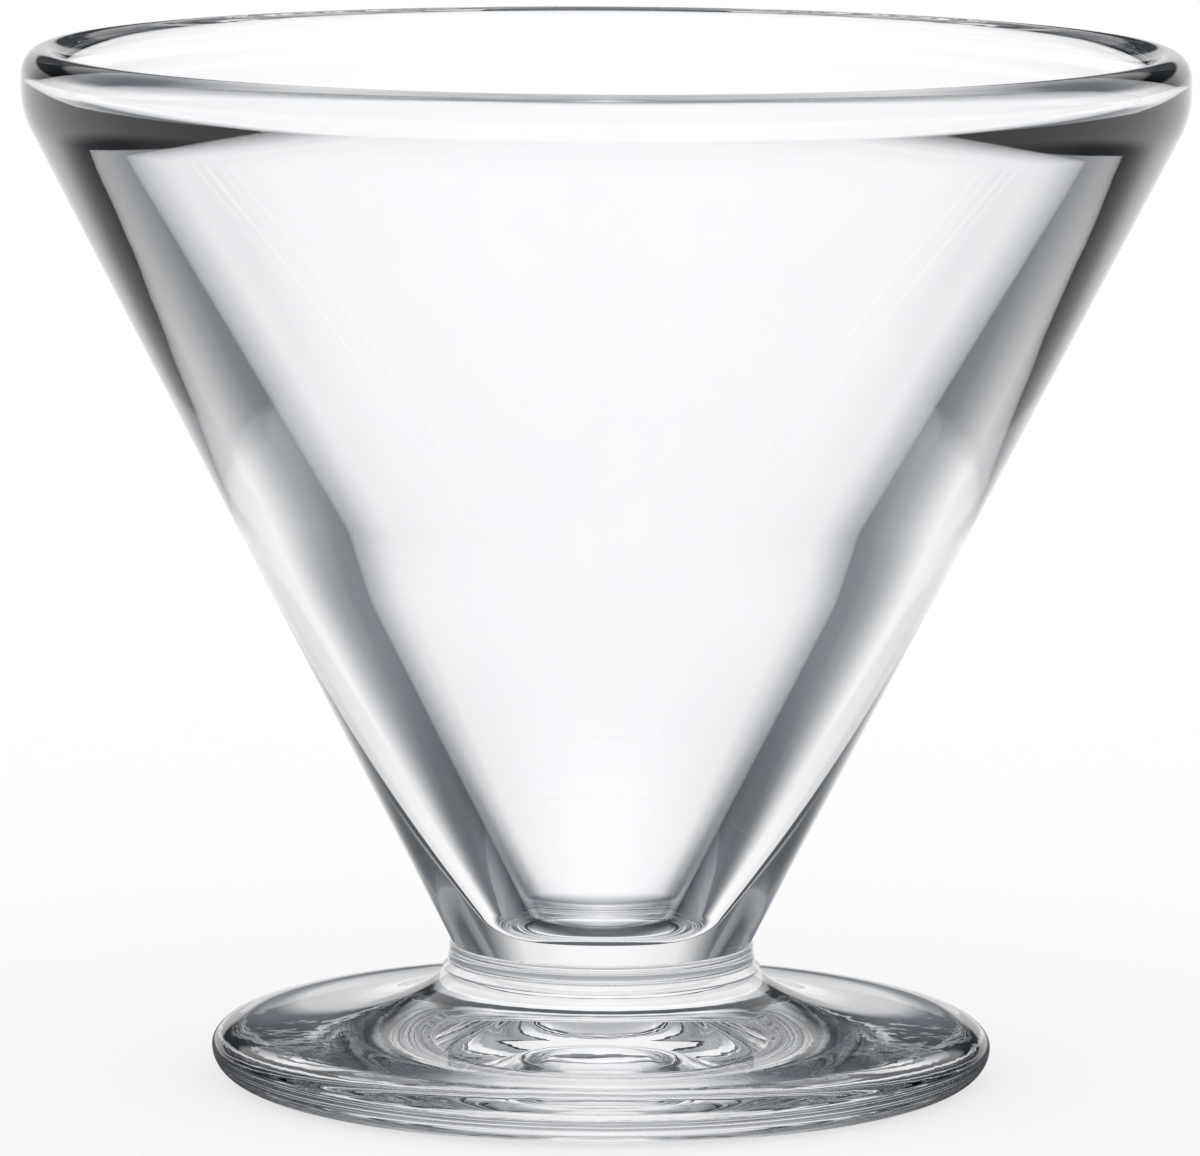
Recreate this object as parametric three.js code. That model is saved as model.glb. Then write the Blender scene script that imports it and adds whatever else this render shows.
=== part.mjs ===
// Footed dessert bowl in clear glass: a conical bowl, a ringed neck and a round foot.
// Millimetres, +Z up. The origin is the centre of the ring that the foot stands on.
import * as THREE from "three";

// Lip
const height = 93.5; // table to the top of the lip
const rimRadius = 52.5; // widest line of the lip
const lipThickness = 3.9; // across the lip, outside to inside
const lipCrown = 2.4; // height of the lip's rounded top

// Bowl wall, with its shoulders measured down from the foot of the rounded top
const outerShoulderDrop = 3.1; // to the corner of the outer cone and the upright lip
const outerShoulderRound = 8;
const innerShoulderDrop = 1.1; // to the corner of the inner wall and the upright lip
const innerShoulderRound = 2.5;
const bendRise = 35.5; // from the floor up to where the inner wall opens out further
const bendRadius = 24.3; // axis to the inner wall there
const bendRound = 90;

// Bowl floor
const floorRadius = 6.1; // axis to the corner of floor and wall
const floorRound = 4;
const floorThickness = 3.25; // glass between the neck ring and the floor

// Neck, with the rings that lie one over the other on its collar
const neckRadius = 13.6; // at its narrowest
const lowerRingHeight = 1;
const middleRingHeight = 0.9;
const upperRingHeight = 0.6;
const ringBulge = 0.22; // how far a ring stands out between its grooves

// Foot
const footRadius = 35.4; // widest line of the edge
const edgeHeight = 2.8; // table to the widest line
const edgeRoundBelow = 3.3; // width of the rounding under the widest line
const edgeRoundAbove = 3.4; // width of the rounding over the widest line
const landHeight = 4.8; // table to the flat land inside the edge
const landWidth = 0.4;
const flareHeight = 6.7; // from the land to where the flare stands upright
const flareOnRings = 1.75; // upper part of the flare, which the neck ring takes over
const restWidth = 3.5; // flat ring that stands on the table
const recessDepth = 0.8; // shallow round hollow under the foot, inside that ring

// Facets
const turns = 56; // around the axis
const arcSteps = 3; // per quarter of an arc, roughly

// Heights and widths that follow from the sizes above
const flareTop = landHeight + flareHeight;
const flareWidth = footRadius - edgeRoundAbove - landWidth - neckRadius;
const footTop = flareTop - flareOnRings;
const neckTop = footTop + lowerRingHeight + middleRingHeight + upperRingHeight;
const lipBase = height - lipCrown;
const lipInside = rimRadius - lipThickness;

// Radius of the flare at a height, upright above its top
function flareRadius(z) {
  const drop = Math.max(0, flareTop - z) / flareHeight;
  return neckRadius + flareWidth * (1 - Math.sqrt(1 - drop * drop));
}

// Draws to a corner, rounds it and leaves the path on its way to the next point
function roundCorner(path, corner, next, radius) {
  const back = path.currentPoint.clone().sub(corner).normalize();
  const ahead = next.clone().sub(corner).normalize();
  const run = radius / Math.tan(back.angleTo(ahead) / 2);
  const centre = back.clone().add(ahead).setLength(Math.hypot(run, radius)).add(corner);
  const start = back.multiplyScalar(run).add(corner);
  const end = ahead.multiplyScalar(run).add(corner);
  path.lineTo(start.x, start.y);
  start.sub(centre);
  end.sub(centre);
  path.absarc(centre.x, centre.y, radius, start.angle(), end.angle(), start.cross(end) < 0);
}

// Turns an outline of radius and height into a solid of revolution, without repeated points
function turned(path) {
  const points = [];
  for (const point of path.getPoints(arcSteps)) {
    const last = points.at(-1);
    if (!last || last.distanceTo(point) > 1e-6) {
      points.push(point);
    }
  }
  return new THREE.LatheGeometry(points, turns).rotateX(Math.PI / 2);
}

// Bowl: from the weld out along the cone, over the lip and down the inside to the floor
function bowlGeometry() {
  const outerShoulder = new THREE.Vector2(rimRadius, lipBase - outerShoulderDrop);
  const lipOutside = new THREE.Vector2(rimRadius, lipBase);
  const innerShoulder = new THREE.Vector2(lipInside, lipBase - innerShoulderDrop);
  const floorCorner = new THREE.Vector2(floorRadius, neckTop + floorThickness);
  const floorCentre = new THREE.Vector2(0, floorCorner.y);
  const bend = new THREE.Vector2(bendRadius, floorCorner.y + bendRise);

  const path = new THREE.Path();
  path.moveTo(0, neckTop);
  path.lineTo(neckRadius, neckTop);
  roundCorner(path, outerShoulder, lipOutside, outerShoulderRound);
  path.absellipse(rimRadius - lipThickness / 2, lipBase, lipThickness / 2, lipCrown, 0, Math.PI, false);
  roundCorner(path, innerShoulder, bend, innerShoulderRound);
  roundCorner(path, bend, floorCorner, bendRound);
  roundCorner(path, floorCorner, floorCentre, floorRound);
  path.lineTo(floorCentre.x, floorCentre.y);
  return turned(path);
}

// Neck ring: a wafer whose edge carries the rings, with their grooves on the flare
function neckRingGeometry() {
  const path = new THREE.Path();
  path.moveTo(0, footTop);
  path.lineTo(flareRadius(footTop), footTop);
  for (const ringHeight of [lowerRingHeight, middleRingHeight, upperRingHeight]) {
    const groove = path.currentPoint.clone();
    const top = groove.y + ringHeight;
    const nextGroove = new THREE.Vector2(flareRadius(top), top);
    const crest = groove.clone().add(nextGroove).divideScalar(2);
    path.quadraticCurveTo(crest.x + 2 * ringBulge, crest.y, nextGroove.x, nextGroove.y);
  }
  path.lineTo(0, neckTop);
  return turned(path);
}

// Foot: from the hollow underneath out round the edge and up the flare to the weld
function footGeometry() {
  const restOutside = footRadius - edgeRoundBelow;
  const restInside = restOutside - restWidth;
  const recessRound = (restInside ** 2 + recessDepth ** 2) / (2 * recessDepth);
  const recessEnd = Math.acos(restInside / recessRound);
  const flareEnd = Math.PI + Math.asin(flareOnRings / flareHeight);

  const path = new THREE.Path();
  path.moveTo(0, recessDepth);
  path.absarc(0, recessDepth - recessRound, recessRound, Math.PI / 2, recessEnd, true);
  path.absellipse(restOutside, edgeHeight, edgeRoundBelow, edgeHeight, -Math.PI / 2, 0, false);
  const landRise = landHeight - edgeHeight;
  path.absellipse(footRadius - edgeRoundAbove, edgeHeight, edgeRoundAbove, landRise, 0, Math.PI / 2, false);
  path.absellipse(neckRadius + flareWidth, flareTop, flareWidth, flareHeight, -Math.PI / 2, flareEnd, true);
  path.lineTo(0, footTop);
  return turned(path);
}

// Clear pressed glass with a fire-polished surface
function clearGlass() {
  return new THREE.MeshStandardMaterial({
    color: 0xe6efec,
    roughness: 0.04,
    metalness: 0,
    transparent: true,
    opacity: 0.35,
  });
}

function piece(name, geometry) {
  const mesh = new THREE.Mesh(geometry, clearGlass());
  mesh.name = name;
  return mesh;
}

const dessertBowl = new THREE.Group();
dessertBowl.add(piece("foot", footGeometry()));
dessertBowl.add(piece("neck_ring", neckRingGeometry()));
dessertBowl.add(piece("bowl", bowlGeometry()));

export default dessertBowl;
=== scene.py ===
"""Footed dessert bowl in clear pressed glass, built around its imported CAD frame."""

import math

import bmesh
import bpy
from bpy.props import FloatProperty, FloatVectorProperty, IntProperty, PointerProperty
from mathutils import Matrix, Vector


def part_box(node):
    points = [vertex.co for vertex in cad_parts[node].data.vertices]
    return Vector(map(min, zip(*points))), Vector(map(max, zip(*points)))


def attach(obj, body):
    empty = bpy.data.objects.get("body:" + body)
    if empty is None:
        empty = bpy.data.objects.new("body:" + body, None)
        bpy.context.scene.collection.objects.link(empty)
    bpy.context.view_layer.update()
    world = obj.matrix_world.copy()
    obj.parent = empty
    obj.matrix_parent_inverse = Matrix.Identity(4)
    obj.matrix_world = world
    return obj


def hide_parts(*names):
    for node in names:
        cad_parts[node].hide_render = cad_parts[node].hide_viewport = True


bl_info = {
    "name": "Dessert bowl in clear glass",
    "version": (1, 0, 0),
    "blender": (4, 5, 0),
    "location": "3D View > Sidebar > Dessert bowl",
    "description": "Builds a footed glass dessert bowl and its stage around a CAD frame",
    "category": "Add Mesh",
}

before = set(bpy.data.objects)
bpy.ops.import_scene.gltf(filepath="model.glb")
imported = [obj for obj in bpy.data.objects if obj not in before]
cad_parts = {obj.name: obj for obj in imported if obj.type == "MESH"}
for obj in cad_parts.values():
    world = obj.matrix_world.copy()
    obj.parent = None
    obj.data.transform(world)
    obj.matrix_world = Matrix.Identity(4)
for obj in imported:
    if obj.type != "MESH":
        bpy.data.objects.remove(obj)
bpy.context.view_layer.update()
bowl_low, bowl_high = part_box("bowl")
_, foot_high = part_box("foot")

MM = 0.001
QUARTER = math.pi / 2
SECTORS = 12  # parts of a turn: one is spun and the others are copies of it
JOINED = 1e-7  # metres within which an arc begins where the outline ends
SAME_PLACE = 1e-6  # metres within which two points are one
SHARP_ANGLE = math.radians(35)  # faces that meet at more than this keep a hard edge
HAZE = 0.012  # roughness of the glass along its cloudiest streaks
CHILL_FULL = 0.5 * MM  # height up to which the chill ripple under the foot is at its deepest
CHILL_GONE = 1.2 * MM  # height from which there is none


def linear(hex_colour):
    """A colour written as sRGB hex, as the linear red, green and blue that shaders take."""
    shares = [int(hex_colour[i:i + 2], 16) / 255 for i in (1, 3, 5)]
    return [c / 12.92 if c <= 0.04045 else ((c + 0.055) / 1.055) ** 2.4 for c in shares]


def length(name, description, mm):
    """A size that the sidebar shows as a length."""
    return FloatProperty(
        name=name, description=description, default=mm * MM, min=0.0, unit="LENGTH", precision=5
    )


def colour(name, description, hex_colour):
    """A colour that the sidebar shows as a swatch."""
    return FloatVectorProperty(
        name=name, description=description, default=linear(hex_colour), subtype="COLOR", min=0.0, max=1.0
    )


class DessertBowlSizes(bpy.types.PropertyGroup):
    """Sizes of the bowl, the neck ring and the foot."""

    height: length("Height", "Table to the top of the lip", bowl_high.z / MM)
    rim_radius: length("Rim radius", "Axis to the widest line of the lip", bowl_high.x / MM)
    lip_thickness: length("Lip thickness", "Across the lip, outside to inside", 3.9)
    lip_crown: length("Lip crown", "Height of the lip's rounded top", 2.4)
    outer_shoulder_drop: length("Outer shoulder drop", "Rounded top's foot down to the cone", 3.1)
    outer_shoulder_round: length("Outer shoulder round", "Rounding of cone into lip", 8.0)
    inner_shoulder_drop: length("Inner shoulder drop", "Rounded top's foot down to the inner wall", 1.1)
    inner_shoulder_round: length("Inner shoulder round", "Rounding of inner wall into lip", 2.5)
    bend_rise: length("Bend rise", "Floor up to where the inner wall opens out further", 35.5)
    bend_radius: length("Bend radius", "Axis to the inner wall at its bend", 24.3)
    bend_round: length("Bend round", "Rounding of the inner wall's bend", 90.0)
    floor_radius: length("Floor radius", "Axis to the corner of floor and inner wall", 6.1)
    floor_round: length("Floor round", "Rounding of the floor's corner", 4.0)
    floor_thickness: length("Floor thickness", "Glass between neck ring and floor", 3.25)
    neck_radius: length("Neck radius", "Axis to the neck at its narrowest", 13.6)
    neck_top: length("Neck top", "Table to the weld of neck ring and bowl", bowl_low.z / MM)
    lower_ring: length("Lower ring", "Height of the neck's lower ring", 1.0)
    middle_ring: length("Middle ring", "Height of the neck's middle ring", 0.9)
    upper_ring: length("Upper ring", "Height of the neck's upper ring", 0.6)
    ring_bulge: length("Ring bulge", "How far a ring stands out between its grooves", 0.22)
    ring_edge: length("Ring edge", "Height of the rounding at each edge of a ring", 0.25)
    foot_radius: length("Foot radius", "Axis to the widest line of the foot's edge", foot_high.x / MM)
    foot_top: length("Foot top", "Table to the weld of foot and neck ring", foot_high.z / MM)
    edge_height: length("Edge height", "Table to the foot's widest line", 2.8)
    edge_round_below: length("Edge round below", "Width of the rounding under the widest line", 3.3)
    edge_round_above: length("Edge round above", "Width of the rounding over the widest line", 3.4)
    land_height: length("Land height", "Table to the flat land inside the foot's edge", 4.8)
    land_width: length("Land width", "Width of that land", 0.4)
    flare_height: length("Flare height", "Land up to where the flare stands upright", 6.7)
    rest_width: length("Rest width", "Flat ring that stands on the table", 3.5)
    recess_depth: length("Recess depth", "Shallow round hollow under the foot", 0.8)
    weld_gap: length("Weld gap", "Left open between two pieces at a fused weld", 0.02)
    turns: IntProperty(name="Turns", description="Faces around the axis", default=360, min=24)


class DessertBowlLooks(bpy.types.PropertyGroup):
    """Finish of the glass and brightness of the stage."""

    glass_clear: colour("Clear glass", "What the glass lets through where it is clearest", "#FFFFFF")
    glass_cord: colour("Glass cord", "What it lets through along its faint streaks", "#FBFCFE")
    glass_ior: FloatProperty(name="Index", description="Refractive index of soda-lime glass", default=1.52)
    streak_size: length("Streak size", "Width of the faint streaks in the glass", 9.0)
    polish_size: length("Polish ripple", "Width of the ripple that fire polishing leaves", 16.0)
    polish_depth: length("Polish depth", "Depth of that ripple", 0.016)
    chill_size: length("Chill ripple", "Width of the ripple that the cold mould leaves under the foot", 3.5)
    chill_depth: length("Chill depth", "Depth of that ripple", 0.02)
    floor_colour: colour("Floor", "Pale floor under the bowl", "#A0A0A0")


class Outline:
    """Half of a turned piece's section, drawn as edges in the XZ plane from one point to the next."""

    def __init__(self, x, z):
        self.mesh = bmesh.new()
        self.end = self.mesh.verts.new((x, 0, z))

    def line(self, x, z, cuts=0):
        """Goes straight to a point, with cuts on the way."""
        start, stop = self.end.co.copy(), Vector((x, 0, z))
        for step in range(1, cuts + 2):
            self.end = bmesh.ops.extrude_vert_indiv(self.mesh, verts=[self.end])["verts"][0]
            self.end.co = start.lerp(stop, step / (cuts + 1))

    def arc(self, x, z, across, up, start, turn, steps):
        """Goes round part of an ellipse, from the angle start on by the angle turn."""
        first = Vector((x + across * math.cos(start), 0, z + up * math.sin(start)))
        if (first - self.end.co).length > JOINED:
            self.line(first.x, first.z)
        round_space = (Matrix.Translation((x, 0, z)) @ Matrix.Diagonal((across, 1, up, 1))).inverted()
        swept = bmesh.ops.spin(
            self.mesh, geom=[self.end], axis=(0, -1, 0), angle=turn, steps=steps, space=round_space
        )
        self.end = next(v for v in swept["geom_last"] if isinstance(v, bmesh.types.BMVert))

    def corner(self, corner, ahead, radius, steps, cuts=0):
        """Goes towards a corner and rounds it, on its way to the point ahead."""
        corner, ahead = Vector(corner), Vector(ahead)
        back = (self.end.co.xz - corner).normalized()
        onward = (ahead - corner).normalized()
        half = back.angle(onward) / 2
        start = corner + back * radius / math.tan(half)
        centre = corner + (back + onward).normalized() * radius / math.sin(half)
        spoke = start - centre
        turn = math.copysign(math.pi - 2 * half, -back.cross(onward))
        self.line(start.x, start.y, cuts)
        self.arc(centre.x, centre.y, radius, radius, math.atan2(spoke.y, spoke.x), turn, steps)

    def turned(self, name, turns, welds):
        """Spins the section into a closed piece whose flat ends at the welds have their own slot."""
        bm = self.mesh
        sector = math.tau / SECTORS
        bmesh.ops.spin(
            bm, geom=bm.verts[:] + bm.edges[:], axis=(0, 0, 1), angle=sector, steps=turns // SECTORS
        )
        bmesh.ops.spin(
            bm, geom=bm.verts[:] + bm.edges[:] + bm.faces[:], axis=(0, 0, 1),
            angle=math.tau - sector, steps=SECTORS - 1, use_duplicate=True,
        )
        bmesh.ops.remove_doubles(bm, verts=bm.verts[:], dist=SAME_PLACE)
        bmesh.ops.recalc_face_normals(bm, faces=bm.faces[:])
        for face in bm.faces:
            face.smooth = True
            face.material_index = any(
                all(abs(v.co.z - z) < SAME_PLACE for v in face.verts) for z in welds
            )
        mesh = bpy.data.meshes.new(name)
        bm.to_mesh(mesh)
        bm.free()
        mesh.set_sharp_from_angle(angle=SHARP_ANGLE)
        piece = bpy.data.objects.new(name, mesh)
        bpy.context.scene.collection.objects.link(piece)
        return piece


def add_node(tree, kind, settings=(), **sockets):
    """Adds a node with its settings, and a value or a link for each socket named (in0 is the first)."""
    node = tree.nodes.new(kind)
    for name, value in dict(settings).items():
        setattr(node, name, value)
    for name, value in sockets.items():
        socket = node.inputs[int(name[2:])] if name[2:].isdigit() else node.inputs[name.replace("_", " ")]
        if isinstance(value, bpy.types.NodeSocket):
            tree.links.new(value, socket)
        else:
            socket.default_value = value
    return node


def ramp(tree, place, stops):
    """Colour of a ramp at a place from 0 to 1, between stops that are grey levels or hex colours."""
    node = add_node(tree, "ShaderNodeValToRGB", Fac=place)
    elements = node.color_ramp.elements
    while len(elements) > 1:
        elements.remove(elements[-1])
    elements[0].position = stops[0][0]
    for position, _ in stops[1:]:
        elements.new(position)
    for element, (_, level) in zip(elements, stops):
        shade = linear(level) if isinstance(level, str) else [level] * 3
        element.color = (*shade, 1)
    return node.outputs["Color"]


def share(tree, value, low, high):
    """How far a value has come on its way from low, 0, to high, 1."""
    part = add_node(tree, "ShaderNodeMapRange", Value=value, From_Min=low, From_Max=high)
    return part.outputs["Result"]


def blend(tree, amount, first, second):
    """The first level where the amount is 0, going over to the second where it is 1."""
    mix = add_node(tree, "ShaderNodeMix", {"data_type": "FLOAT"}, in0=amount, in2=first, in3=second)
    return mix.outputs[0]


def fresh_material(name):
    """The material of this name, without nodes when it is new."""
    material = bpy.data.materials.get(name)
    if material is None:
        material = bpy.data.materials.new(name)
        material.use_nodes = True
        material.node_tree.nodes.clear()
    return material


def pressed_glass(looks, chilled):
    """Soda-lime glass, pressed and fire-polished: clear and glossy, with a faint slow ripple in what
    shows through it. Where it lay on the cold mould, under the foot, a finer ripple breaks up the view."""
    material = fresh_material("soda_lime_glass_chilled" if chilled else "soda_lime_glass_polished")
    tree = material.node_tree
    if tree.nodes:
        return material
    place = add_node(tree, "ShaderNodeTexCoord").outputs["Object"]
    streaks = add_node(
        tree, "ShaderNodeTexNoise", Vector=place, Scale=1 / looks.streak_size, Detail=2.0, Distortion=1.5
    )
    tint = add_node(
        tree, "ShaderNodeMix", {"data_type": "RGBA"},
        in0=streaks.outputs["Fac"], in6=(*looks.glass_clear, 1), in7=(*looks.glass_cord, 1),
    )
    haze = add_node(tree, "ShaderNodeMapRange", Value=streaks.outputs["Fac"], To_Min=0.0, To_Max=HAZE)
    ripple = add_node(tree, "ShaderNodeTexNoise", Vector=place, Scale=1 / looks.polish_size, Detail=1.0)
    bump = add_node(
        tree, "ShaderNodeBump", Strength=1.0, Distance=looks.polish_depth, Height=ripple.outputs["Fac"]
    )
    if chilled:
        chill = add_node(tree, "ShaderNodeTexNoise", Vector=place, Scale=1 / looks.chill_size, Detail=2.0)
        up = add_node(tree, "ShaderNodeSeparateXYZ", Vector=place).outputs["Z"]
        under = add_node(
            tree, "ShaderNodeMapRange", Value=up,
            From_Min=CHILL_FULL, From_Max=CHILL_GONE, To_Min=1.0, To_Max=0.0,
        )
        bump = add_node(
            tree, "ShaderNodeBump", Distance=looks.chill_depth, Strength=under.outputs["Result"],
            Height=chill.outputs["Fac"], Normal=bump.outputs["Normal"],
        )
    glass = add_node(
        tree, "ShaderNodeBsdfPrincipled", Base_Color=tint.outputs[2], Roughness=haze.outputs["Result"],
        IOR=looks.glass_ior, Transmission_Weight=1.0, Normal=bump.outputs["Normal"],
    )
    add_node(tree, "ShaderNodeOutputMaterial", Surface=glass.outputs["BSDF"])
    return material


def fused_weld():
    """Glass joined to glass while hot: there is no surface left to see, so light goes straight on."""
    material = fresh_material("fused_glass_weld")
    tree = material.node_tree
    if not tree.nodes:
        clear = add_node(tree, "ShaderNodeBsdfTransparent")
        add_node(tree, "ShaderNodeOutputMaterial", Surface=clear.outputs["BSDF"])
    return material


def dress(piece, node, glass):
    """Gives a glass piece its finish, and puts it in the place of its CAD node."""
    piece.data.materials.append(glass)
    piece.data.materials.append(fused_weld())
    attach(piece, "root")
    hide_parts(node)


def flare_radius(sizes, z):
    """Radius of the foot's flare at a height, upright above its top."""
    flare_top = sizes.land_height + sizes.flare_height
    width = sizes.foot_radius - sizes.edge_round_above - sizes.land_width - sizes.neck_radius
    drop = max(0.0, flare_top - z) / sizes.flare_height
    return sizes.neck_radius + width * (1 - math.sqrt(1 - drop * drop))


class DESSERTBOWL_OT_bowl(bpy.types.Operator):
    """Turns the conical bowl with its lip, inner wall and rounded floor"""

    bl_idname = "dessert_bowl.bowl"
    bl_label = "Bowl"

    def execute(self, context):
        sizes, looks = context.scene.dessert_bowl_sizes, context.scene.dessert_bowl_looks
        base = sizes.neck_top + sizes.weld_gap / 2
        lip_base = sizes.height - sizes.lip_crown
        lip_inside = sizes.rim_radius - sizes.lip_thickness
        floor = sizes.neck_top + sizes.floor_thickness
        outer_shoulder = (sizes.rim_radius, lip_base - sizes.outer_shoulder_drop)
        inner_shoulder = (lip_inside, lip_base - sizes.inner_shoulder_drop)
        bend = (sizes.bend_radius, floor + sizes.bend_rise)
        floor_corner = (sizes.floor_radius, floor)

        half = sizes.lip_thickness / 2
        section = Outline(0, base)
        section.line(sizes.neck_radius, base)
        section.corner(
            outer_shoulder, (sizes.rim_radius, lip_base), sizes.outer_shoulder_round, steps=24, cuts=24
        )
        section.arc(sizes.rim_radius - half, lip_base, half, sizes.lip_crown, 0, math.pi, steps=40)
        section.corner(inner_shoulder, bend, sizes.inner_shoulder_round, steps=16)
        section.corner(bend, floor_corner, sizes.bend_round, steps=12, cuts=16)
        section.corner(floor_corner, (0, floor), sizes.floor_round, steps=20, cuts=16)
        section.line(0, floor, cuts=2)
        piece = section.turned("glass_bowl", sizes.turns, [base])
        dress(piece, "bowl", pressed_glass(looks, chilled=False))
        return {"FINISHED"}


class DESSERTBOWL_OT_neck_ring(bpy.types.Operator):
    """Turns the wafer of glass between foot and bowl, with three fine rings on its edge"""

    bl_idname = "dessert_bowl.neck_ring"
    bl_label = "Neck ring"

    def execute(self, context):
        sizes, looks = context.scene.dessert_bowl_sizes, context.scene.dessert_bowl_looks
        low = sizes.foot_top + sizes.weld_gap / 2
        high = sizes.neck_top - sizes.weld_gap / 2
        edge, bulge = sizes.ring_edge, sizes.ring_bulge
        grooves = [low, sizes.foot_top + sizes.lower_ring, sizes.neck_top - sizes.upper_ring, high]

        section = Outline(0, low)
        section.line(flare_radius(sizes, low), low)
        for below, above in zip(grooves, grooves[1:]):
            low_groove, high_groove = flare_radius(sizes, below), flare_radius(sizes, above)
            section.arc(low_groove, below + edge, bulge, edge, -QUARTER, QUARTER, steps=6)
            section.arc(high_groove, above - edge, bulge, edge, 0, QUARTER, steps=6)
        section.line(0, high)
        piece = section.turned("glass_neck_ring", sizes.turns, [low, high])
        dress(piece, "neck_ring", pressed_glass(looks, chilled=False))
        return {"FINISHED"}


class DESSERTBOWL_OT_foot(bpy.types.Operator):
    """Turns the round foot with its rounded edge, trumpet flare and hollow underside"""

    bl_idname = "dessert_bowl.foot"
    bl_label = "Foot"

    def execute(self, context):
        sizes, looks = context.scene.dessert_bowl_sizes, context.scene.dessert_bowl_looks
        top = sizes.foot_top - sizes.weld_gap / 2
        rest_outside = sizes.foot_radius - sizes.edge_round_below
        rest_inside = rest_outside - sizes.rest_width
        edge_above = sizes.foot_radius - sizes.edge_round_above
        land_inside = edge_above - sizes.land_width
        flare_top = sizes.land_height + sizes.flare_height
        flare_turn = math.asin((flare_top - top) / sizes.flare_height) - QUARTER
        recess_round = (rest_inside ** 2 + sizes.recess_depth ** 2) / (2 * sizes.recess_depth)
        recess_turn = -math.asin(rest_inside / recess_round)

        section = Outline(0, sizes.recess_depth)
        section.arc(
            0, sizes.recess_depth - recess_round, recess_round, recess_round,
            QUARTER, recess_turn, steps=20,
        )
        section.line(rest_outside, 0, cuts=2)
        section.arc(
            rest_outside, sizes.edge_height, sizes.edge_round_below, sizes.edge_height,
            -QUARTER, QUARTER, steps=20,
        )
        section.arc(
            edge_above, sizes.edge_height, sizes.edge_round_above, sizes.land_height - sizes.edge_height,
            0, QUARTER, steps=20,
        )
        section.arc(
            land_inside, flare_top, land_inside - sizes.neck_radius, sizes.flare_height,
            -QUARTER, flare_turn, steps=40,
        )
        section.line(0, top, cuts=2)
        piece = section.turned("glass_foot", sizes.turns, [top])
        dress(piece, "foot", pressed_glass(looks, chilled=True))
        return {"FINISHED"}


# Painted light and shade in the stage that only the glass sees: how bright the floor and the world are
# painted there. Places around run from 0, straight behind the bowl, to 1, towards the camera. Places out
# run from 0, under the bowl, to 1, at TABLE_REACH. Places up run from 0, level with the table, to 1,
# overhead.
# Painted glow of the floor behind the bowl, falling off to painted dark sides, seen only in the glass.
PAINTED_GLOW_AROUND = (
    (0, 1.0), (0.14, 1.0), (0.19, 0.72), (0.24, 0.46), (0.29, 0.27), (0.35, 0.18), (0.42, 0.2),
    (0.49, 0.45), (0.6, 0.75), (1, 0.85),
)
# Painted shade on the floor under the bowl, darkest at the sides, seen only in the glass.
PAINTED_SHADE_UNDER_AROUND = (
    (0, 0.9), (0.08, 0.5), (0.17, 0.15), (0.28, 0.35), (0.39, 0.3), (0.51, 0.06), (0.65, 0.02),
    (0.79, 0.12), (0.9, 0.75), (1, 0.9),
)
# Painted glow outwards from the bowl, with a painted dark ring round the foot.
PAINTED_GLOW_OUT = (
    (0, 1.0), (0.12, 1.0), (0.135, 0.5), (0.16, 0.4), (0.2, 0.6), (0.25, 0.9), (0.3, 1.0),
)
# Painted walls in the world that only the glass sees: bright behind, painted dark sides.
PAINTED_WALLS_AROUND = (
    (0, 1.0), (0.13, 0.95), (0.19, 0.5), (0.25, 0.2), (0.32, 0.07), (0.55, 0.08), (0.78, 0.35), (1, 0.25),
)
PAINTED_WALLS_UP = ((0, 1.0), (0.145, 1.0), (0.175, 0.1), (0.33, 0.1), (0.37, 1.0), (0.8, 1.0), (1, 0.8))
# Colours of the painted light and shade: greys that turn cooler as they darken.
PAINTED_LIGHT_GREYS = ((0, "#000000"), (0.15, "#656A71"), (0.5, "#BABCBE"), (1, "#FFFFFF"))
TABLE_REACH = 300 * MM
PAINTED_GLOW_STRENGTH = 1.09  # strength of the painted glow that the glass sees in the floor
PAINTED_SHADE_CORE_EDGE = (6 * MM, 16 * MM)  # radii over which the painted dark spot below the axis ends
# Level of the painted dark spot below the axis.
PAINTED_SHADE_CORE_LEVEL = 0.1
PAINTED_SHADE_UNDER_EDGE = (40 * MM, 58 * MM)  # radii over which the painted shade under the bowl ends
FAR_EDGE = (220 * MM, 320 * MM)  # radii over which the table turns plain white
OVERHEAD_EDGE = (0.85, 0.97)  # places up over which the painted walls end
# Painted brightness overhead, seen only in the glass.
OVERHEAD_LEVEL = 0.4

# Stage and camera. The camera was fitted to the outline of the bowl in the photo.
GLASS_BOUNCES = 24  # turns that light may take on its way through thick glass
GLOSSY_BOUNCES = 12
FLOOR_REACH = 3.0  # metres from the middle of the floor to its sides
FLOOR_DROP = 0.02 * MM  # keeps the floor just clear of the foot
CAMERA_LENS = 267.83  # mm
CAMERA_SENSOR = 36  # mm
CAMERA_PLACE = (0, -0.8, 0.15585)  # metres
CAMERA_YAW, CAMERA_PITCH, CAMERA_ROLL = 0.0004, 0.1371, 0.0056  # radians


def turn_from_back(tree, axes):
    """Turn about the bowl's axis from straight behind it, 0, to towards the camera, 1, to either side."""
    side = add_node(tree, "ShaderNodeMath", {"operation": "ABSOLUTE"}, in0=axes.outputs["X"]).outputs[0]
    angle = add_node(
        tree, "ShaderNodeMath", {"operation": "ARCTAN2"}, in0=side, in1=axes.outputs["Y"]
    ).outputs[0]
    return share(tree, angle, 0.0, math.pi)


def painted_light_grey(tree, level):
    """A level of painted light as a grey that turns cooler as it gets darker, for the painted shade that
    the glass sees.
    """
    return ramp(tree, level, PAINTED_LIGHT_GREYS)


def seen_in_glass(tree):
    """1 for what is seen through the glass or in its surface, and 0 for the rest."""
    ray = add_node(tree, "ShaderNodeLightPath")
    return add_node(
        tree, "ShaderNodeMath", {"operation": "MAXIMUM"},
        in0=ray.outputs["Is Transmission Ray"], in1=ray.outputs["Is Glossy Ray"],
    ).outputs[0]


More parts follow.
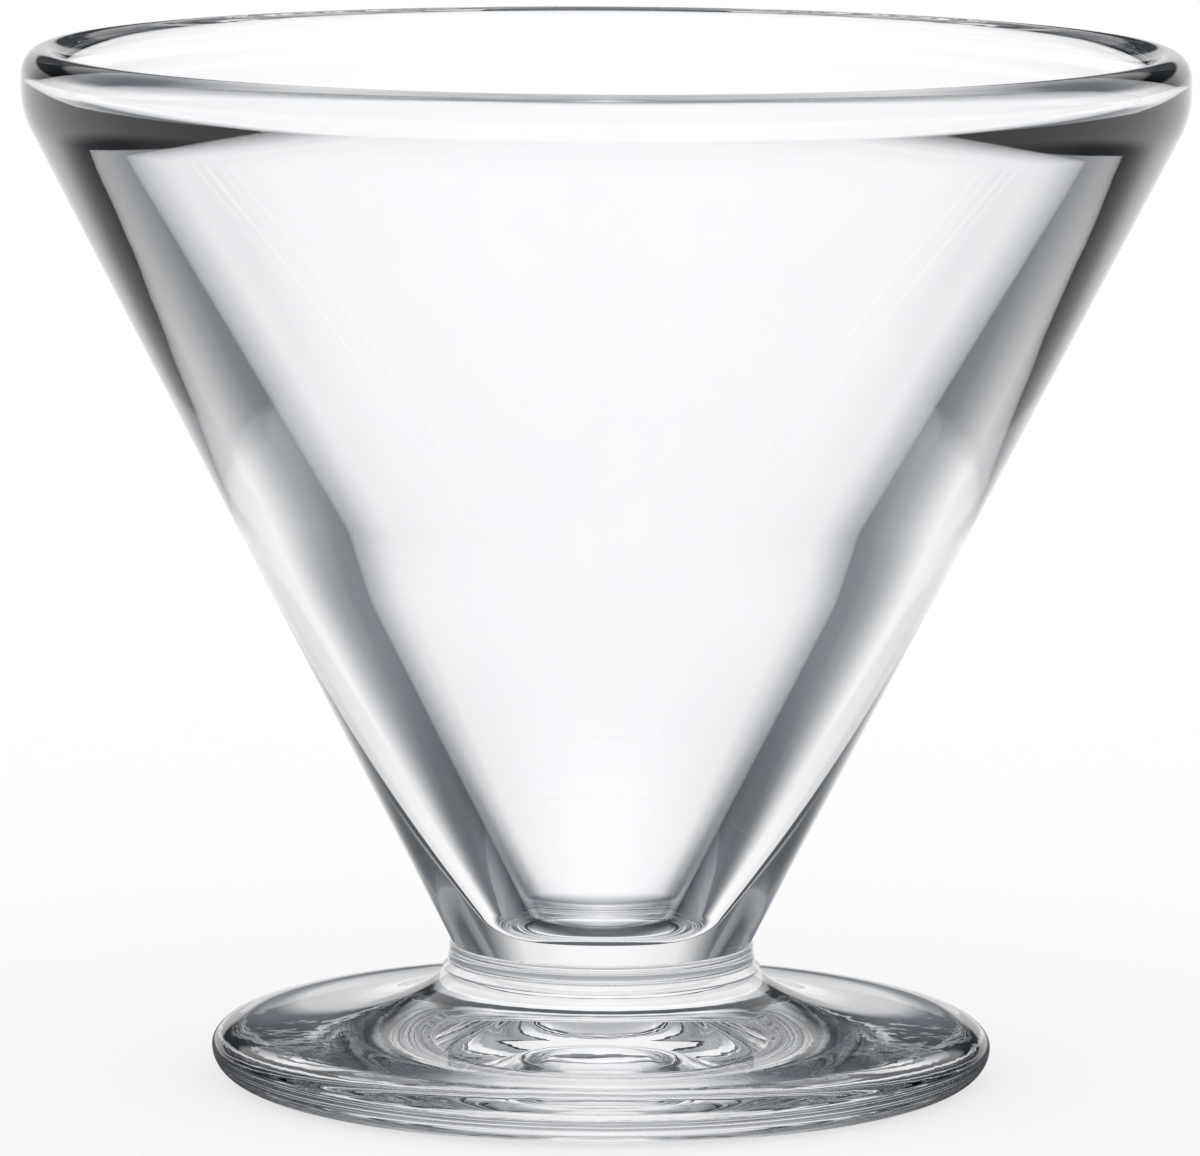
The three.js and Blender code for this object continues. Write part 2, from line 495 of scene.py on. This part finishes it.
def studio_floor(looks):
    """Matt white studio paper. The camera sees it white with the bowl's soft shadow; in the glass it shows
    a painted glow behind the bowl, with painted shade towards the dark sides and under the bowl."""
    material = fresh_material("matt_paper_and_painted_glow")
    tree = material.node_tree
    if tree.nodes:
        return material
    place = add_node(tree, "ShaderNodeTexCoord").outputs["Object"]
    around = turn_from_back(tree, add_node(tree, "ShaderNodeSeparateXYZ", Vector=place))
    reach = add_node(tree, "ShaderNodeVectorMath", {"operation": "LENGTH"}, in0=place).outputs["Value"]
    # Painted shade under the bowl, going over to the painted glow of the table around it.
    under, table = ramp(tree, around, PAINTED_SHADE_UNDER_AROUND), ramp(tree, around, PAINTED_GLOW_AROUND)
    glow = blend(tree, share(tree, reach, *PAINTED_SHADE_UNDER_EDGE), under, table)
    rings = ramp(tree, share(tree, reach, 0.0, TABLE_REACH), PAINTED_GLOW_OUT)
    glow = add_node(tree, "ShaderNodeMath", {"operation": "MULTIPLY"}, in0=glow, in1=rings).outputs[0]
    # Painted dark spot below the axis.
    glow = blend(tree, share(tree, reach, *PAINTED_SHADE_CORE_EDGE), PAINTED_SHADE_CORE_LEVEL, glow)
    far = add_node(
        tree, "ShaderNodeMapRange", {"interpolation_type": "SMOOTHSTEP"},
        Value=reach, From_Min=FAR_EDGE[0], From_Max=FAR_EDGE[1],
    ).outputs["Result"]
    glow = blend(tree, far, glow, 1.0)
    # Painted glow and painted shade, which only the glass sees; the camera sees the white paper.
    painted_glow_in_glass = add_node(tree, "ShaderNodeEmission", Color=painted_light_grey(tree, glow), Strength=PAINTED_GLOW_STRENGTH)
    paper = add_node(tree, "ShaderNodeBsdfDiffuse", Color=(*looks.floor_colour, 1))
    lift = add_node(tree, "ShaderNodeEmission", Strength=1 - looks.floor_colour[0])
    seen = add_node(tree, "ShaderNodeAddShader", in0=paper.outputs[0], in1=lift.outputs[0])
    surface = add_node(
        tree, "ShaderNodeMixShader", in0=seen_in_glass(tree), in1=seen.outputs[0], in2=painted_glow_in_glass.outputs[0]
    )
    add_node(tree, "ShaderNodeOutputMaterial", Surface=surface.outputs[0])
    return material


def studio_world():
    """Even white light on what is lit; in the glass, a painted bright low wall behind and painted dim sides
    around it.
    """
    world = bpy.data.worlds.new("studio")
    world.use_nodes = True
    tree = world.node_tree
    tree.nodes.clear()
    way = add_node(tree, "ShaderNodeTexCoord").outputs["Generated"]
    axes = add_node(tree, "ShaderNodeSeparateXYZ", Vector=way)
    up = axes.outputs["Z"]
    # Painted bright wall and painted dark sides, which only the glass sees.
    walls, rise = ramp(tree, turn_from_back(tree, axes), PAINTED_WALLS_AROUND), ramp(tree, up, PAINTED_WALLS_UP)
    level = add_node(tree, "ShaderNodeMath", {"operation": "MULTIPLY"}, in0=walls, in1=rise).outputs[0]
    level = blend(tree, share(tree, up, *OVERHEAD_EDGE), level, OVERHEAD_LEVEL)
    colour_seen = add_node(
        tree, "ShaderNodeMix", {"data_type": "RGBA"},
        in0=seen_in_glass(tree), in6=(1, 1, 1, 1), in7=painted_light_grey(tree, level),
    ).outputs[2]
    light = add_node(tree, "ShaderNodeBackground", Color=colour_seen, Strength=1.0)
    add_node(tree, "ShaderNodeOutputWorld", Surface=light.outputs[0])
    return world


class DESSERTBOWL_OT_stage(bpy.types.Operator):
    """Sets the pale floor, the soft studio light and the camera"""

    bl_idname = "dessert_bowl.stage"
    bl_label = "Stage"

    def execute(self, context):
        scene, looks = context.scene, context.scene.dessert_bowl_looks
        scene.view_settings.view_transform = "Standard"
        scene.cycles.max_bounces = GLASS_BOUNCES
        scene.cycles.transmission_bounces = GLASS_BOUNCES
        scene.cycles.glossy_bounces = GLOSSY_BOUNCES

        bm = bmesh.new()
        bmesh.ops.create_grid(bm, x_segments=1, y_segments=1, size=FLOOR_REACH)
        bmesh.ops.translate(bm, verts=bm.verts, vec=(0, 0, -FLOOR_DROP))
        mesh = bpy.data.meshes.new("studio_floor")
        bm.to_mesh(mesh)
        bm.free()
        floor = bpy.data.objects.new("studio_floor", mesh)
        floor.data.materials.append(studio_floor(looks))
        scene.collection.objects.link(floor)
        scene.world = studio_world()

        camera = bpy.data.cameras.new("camera")
        camera.sensor_width = CAMERA_SENSOR
        camera.lens = CAMERA_LENS
        eye = bpy.data.objects.new("camera", camera)
        scene.collection.objects.link(eye)
        eye.matrix_world = (
            Matrix.Translation(CAMERA_PLACE)
            @ Matrix.Rotation(CAMERA_YAW, 4, "Z")
            @ Matrix.Rotation(QUARTER - CAMERA_PITCH, 4, "X")
            @ Matrix.Rotation(CAMERA_ROLL, 4, "Z")
        )
        scene.camera = eye
        return {"FINISHED"}


class DESSERTBOWL_PT_sidebar(bpy.types.Panel):
    """Lists the pieces, the sizes and the finish of the dessert bowl"""

    bl_idname = "DESSERTBOWL_PT_sidebar"
    bl_label = "Dessert bowl"
    bl_space_type = "VIEW_3D"
    bl_region_type = "UI"
    bl_category = "Dessert bowl"

    def draw(self, context):
        for operator in OPERATORS:
            self.layout.operator(operator.bl_idname)
        for group in (context.scene.dessert_bowl_sizes, context.scene.dessert_bowl_looks):
            box = self.layout.box()
            for name in group.__annotations__:
                box.prop(group, name)


OPERATORS = (DESSERTBOWL_OT_bowl, DESSERTBOWL_OT_neck_ring, DESSERTBOWL_OT_foot, DESSERTBOWL_OT_stage)
CLASSES = (DessertBowlSizes, DessertBowlLooks, *OPERATORS, DESSERTBOWL_PT_sidebar)


def register():
    for cls in CLASSES:
        bpy.utils.register_class(cls)
    bpy.types.Scene.dessert_bowl_sizes = PointerProperty(type=DessertBowlSizes)
    bpy.types.Scene.dessert_bowl_looks = PointerProperty(type=DessertBowlLooks)


def unregister():
    del bpy.types.Scene.dessert_bowl_looks
    del bpy.types.Scene.dessert_bowl_sizes
    for cls in reversed(CLASSES):
        bpy.utils.unregister_class(cls)


def main():
    register()
    bpy.ops.dessert_bowl.bowl()
    bpy.ops.dessert_bowl.neck_ring()
    bpy.ops.dessert_bowl.foot()
    bpy.ops.dessert_bowl.stage()


if __name__ == "__main__":
    main()
